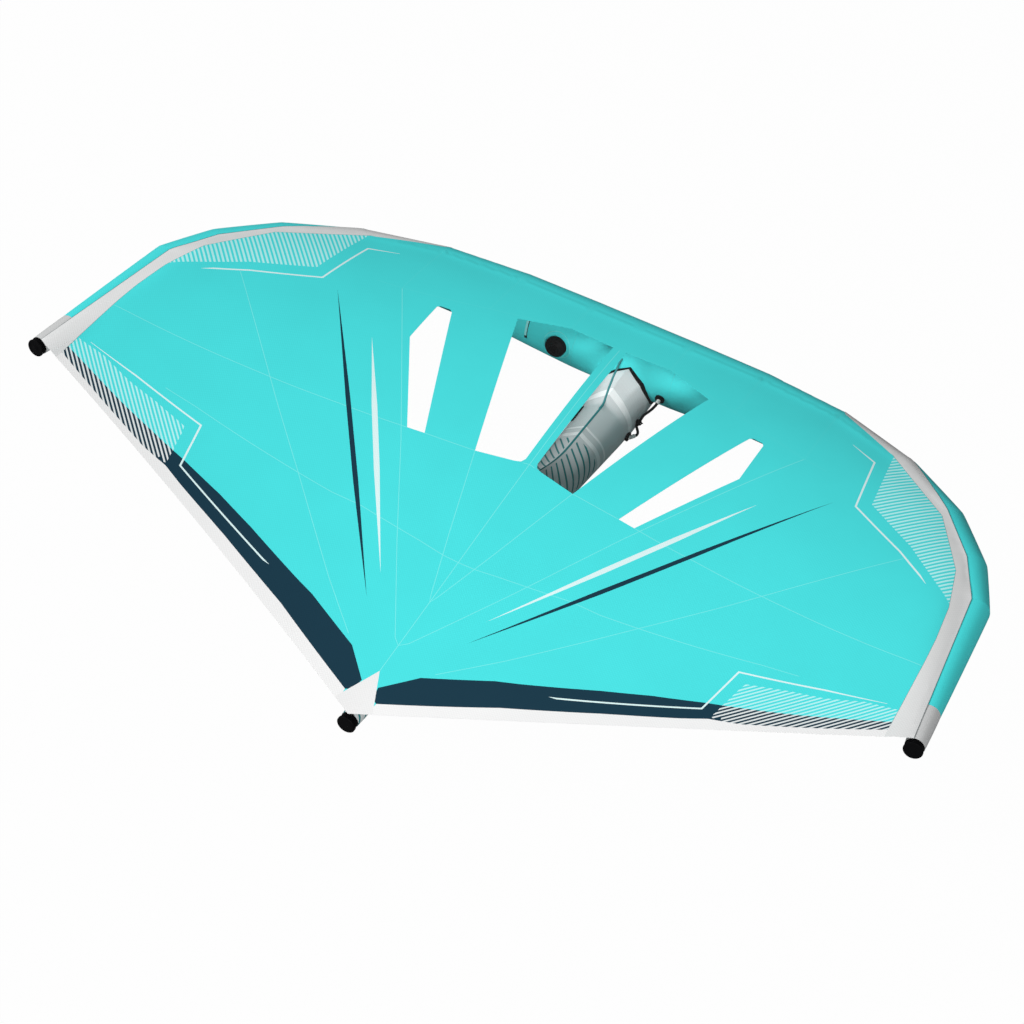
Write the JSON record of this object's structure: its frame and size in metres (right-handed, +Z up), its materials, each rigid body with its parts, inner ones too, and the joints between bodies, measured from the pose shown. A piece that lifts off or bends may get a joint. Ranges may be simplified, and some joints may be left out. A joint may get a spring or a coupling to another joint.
{
  "type": "inflatable hand wing",
  "caption": "Inflatable hand-held wing for foil boards: sewn canopy with clear windows on an air-tube leading edge and centre strut, with soft handles, valve and clip hose.",
  "frame": {"origin": "centre of the part's bounding box in plan, level with its lowest point, the grip of the front handle", "axes": "+X along the span towards the right tip, +Y forward to the leading edge, +Z up from the strut to the canopy"},
  "size_m": [3.1636, 2.0724, 0.6287],
  "materials": {
    "cyan_cloth": "woven, satin",
    "navy_cloth": "woven, satin",
    "white_cloth": "woven, satin",
    "grey_cloth": "woven, satin",
    "strut_cloth": "woven, satin",
    "clear_film": "clear, smooth",
    "bladder_film": "satin",
    "black_plastic": "satin",
    "black_webbing": "woven, dull",
    "black_hose": "dull",
    "white_plastic": "satin"
  },
  "bodies": {
    "wing": {"canopy_centre_strip": "cyan_cloth", "canopy_inner_front_left": "cyan_cloth", "canopy_inner_front_right": "cyan_cloth", "canopy_inner_rear_left": "cyan_cloth", "canopy_inner_rear_right": "cyan_cloth", "canopy_middle_front_left": "cyan_cloth", "canopy_middle_front_right": "cyan_cloth", "canopy_middle_rear_left": "cyan_cloth", "canopy_middle_rear_right": "cyan_cloth", "canopy_rear_centre": "cyan_cloth", "canopy_tip_left": "cyan_cloth", "canopy_tip_right": "cyan_cloth", "corner_patch": "white_cloth", "edge_band_left": "grey_cloth", "edge_band_right": "grey_cloth", "hose_clip_body": "black_plastic", "inflation_hose": "black_hose", "leading_edge_bladder": "bladder_film", "leading_edge_centre": "cyan_cloth", "leading_edge_panel_1_left": "cyan_cloth", "leading_edge_panel_1_right": "cyan_cloth", "leading_edge_panel_2_left": "cyan_cloth", "leading_edge_panel_2_right": "cyan_cloth", "leading_edge_panel_3_left": "cyan_cloth", "leading_edge_panel_3_right": "cyan_cloth", "leading_edge_panel_4_left": "cyan_cloth", "leading_edge_panel_4_right": "cyan_cloth", "leading_edge_panel_5_left": "cyan_cloth", "leading_edge_panel_5_right": "cyan_cloth", "leading_edge_panel_6_left": "cyan_cloth", "leading_edge_panel_6_right": "cyan_cloth", "leading_edge_tail_left": "cyan_cloth", "leading_edge_tail_right": "cyan_cloth", "leading_edge_tip_left": "grey_cloth", "leading_edge_tip_right": "grey_cloth", "main_valve_body": "black_plastic", "strut_bladder": "bladder_film", "strut_casing": "strut_cloth", "strut_collar": "black_webbing", "strut_end_cap": "black_plastic", "strut_port": "black_plastic", "strut_side_tab": "black_webbing", "tip_end_cap_left": "black_plastic", "tip_end_cap_right": "black_plastic", "trailing_band_left": "white_cloth", "trailing_band_right": "white_cloth", "trailing_panel_left": "navy_cloth", "trailing_panel_right": "navy_cloth", "tube_port": "black_plastic", "tube_strap": "cyan_cloth", "window_inner_left": "clear_film", "window_inner_right": "clear_film", "window_outer_left": "clear_film", "window_outer_right": "clear_film"},
    "valve_cap": {"main_valve_cap": "black_plastic"},
    "valve_plunger": {"main_valve_plunger": "white_plastic"},
    "clip_lever": {"hose_clip_lever": "black_plastic"},
    "front_handle_loop": {"front_handle": "black_webbing"},
    "rear_handle_loop": {"rear_handle": "black_webbing"},
    "leading_handle_loop": {"leading_handle": "black_webbing"}
  },
  "joints": [
    {"name": "valve_cap_hinge", "type": "hinge", "parent": "wing", "child": "valve_cap", "pos_m": [-0.252, 0.76367, 0.37223], "axis": [-1, 0, 0], "range_deg": [0, 150]},
    {"name": "valve_plunger_slide", "type": "slide", "parent": "wing", "child": "valve_plunger", "axis": [0, 0.9976, -0.0698], "range_m": [0, 0.004], "stiffness_N_per_m": 400, "springref_m": -0.003},
    {"name": "clip_lever_hinge", "type": "hinge", "parent": "wing", "child": "clip_lever", "pos_m": [0.12124, 0.7394, 0.20823], "axis": [-0.9531, 0, 0.3027], "range_deg": [0, 60]},
    {"name": "front_handle_hinge", "type": "hinge", "parent": "wing", "child": "front_handle_loop", "pos_m": [0, 0.36517, 0.08519], "axis": [0, 0.996, -0.0898], "range_deg": [-75, 75]},
    {"name": "rear_handle_hinge", "type": "hinge", "parent": "wing", "child": "rear_handle_loop", "pos_m": [0, -0.21133, 0.13719], "axis": [0, 0.996, -0.0898], "range_deg": [-75, 75]},
    {"name": "leading_handle_hinge", "type": "hinge", "parent": "wing", "child": "leading_handle_loop", "pos_m": [0, 1.00426, 0.23843], "axis": [1, 0, 0], "range_deg": [-25, 110]}
  ]
}
